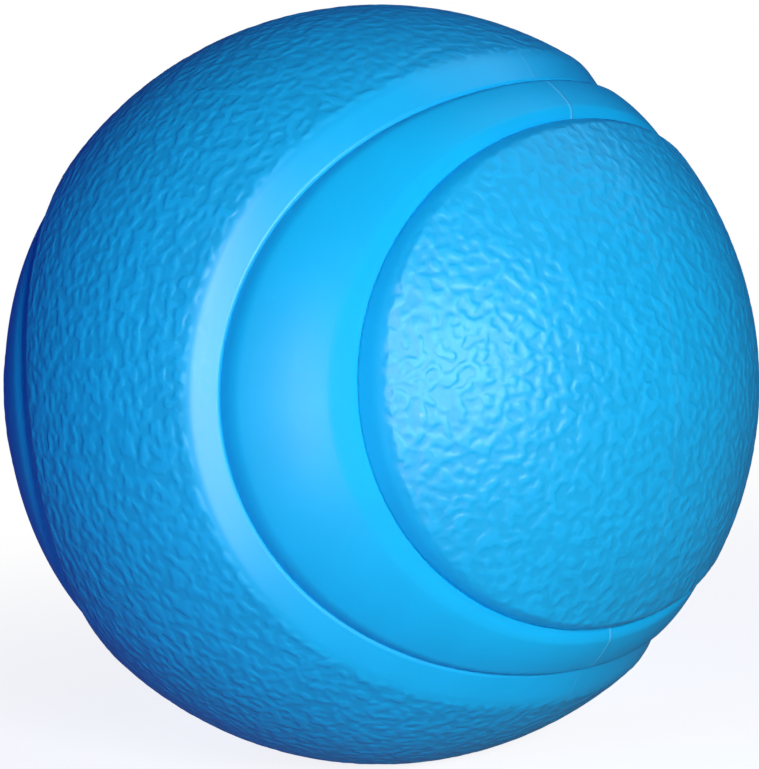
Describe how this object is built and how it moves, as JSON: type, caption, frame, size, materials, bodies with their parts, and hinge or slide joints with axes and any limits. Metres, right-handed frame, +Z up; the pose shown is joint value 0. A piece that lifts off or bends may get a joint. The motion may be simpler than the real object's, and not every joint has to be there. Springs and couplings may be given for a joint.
{
  "type": "bouncy ball",
  "caption": "Hollow rubber bouncing ball: a bonded core under two dog-bone cover panels with leather grain, parted by one smooth crowned band between two grooves.",
  "frame": {"origin": "centre of the ball", "axes": "+Y from the middle of the front panel to the middle of the rear panel; +Z up, towards the upper lobe of the front panel; +X towards one lobe of the rear panel"},
  "size_m": [0.065, 0.065, 0.065],
  "materials": {
    "panel_rubber": "satin blue moulded rubber with fine leather grain",
    "band_rubber": "smooth satin blue moulded rubber",
    "core_rubber": "matt grey rubber, dusted with moulding powder",
    "rim_cement": "translucent amber rubber cement"
  },
  "bodies": {
    "root": {"core_cup_front": "core_rubber", "core_cup_rear": "core_rubber", "rim_cement_ring": "rim_cement", "cover_panel_front": "panel_rubber", "cover_panel_rear": "panel_rubber", "seam_band": "band_rubber"}
  },
  "joints": []
}
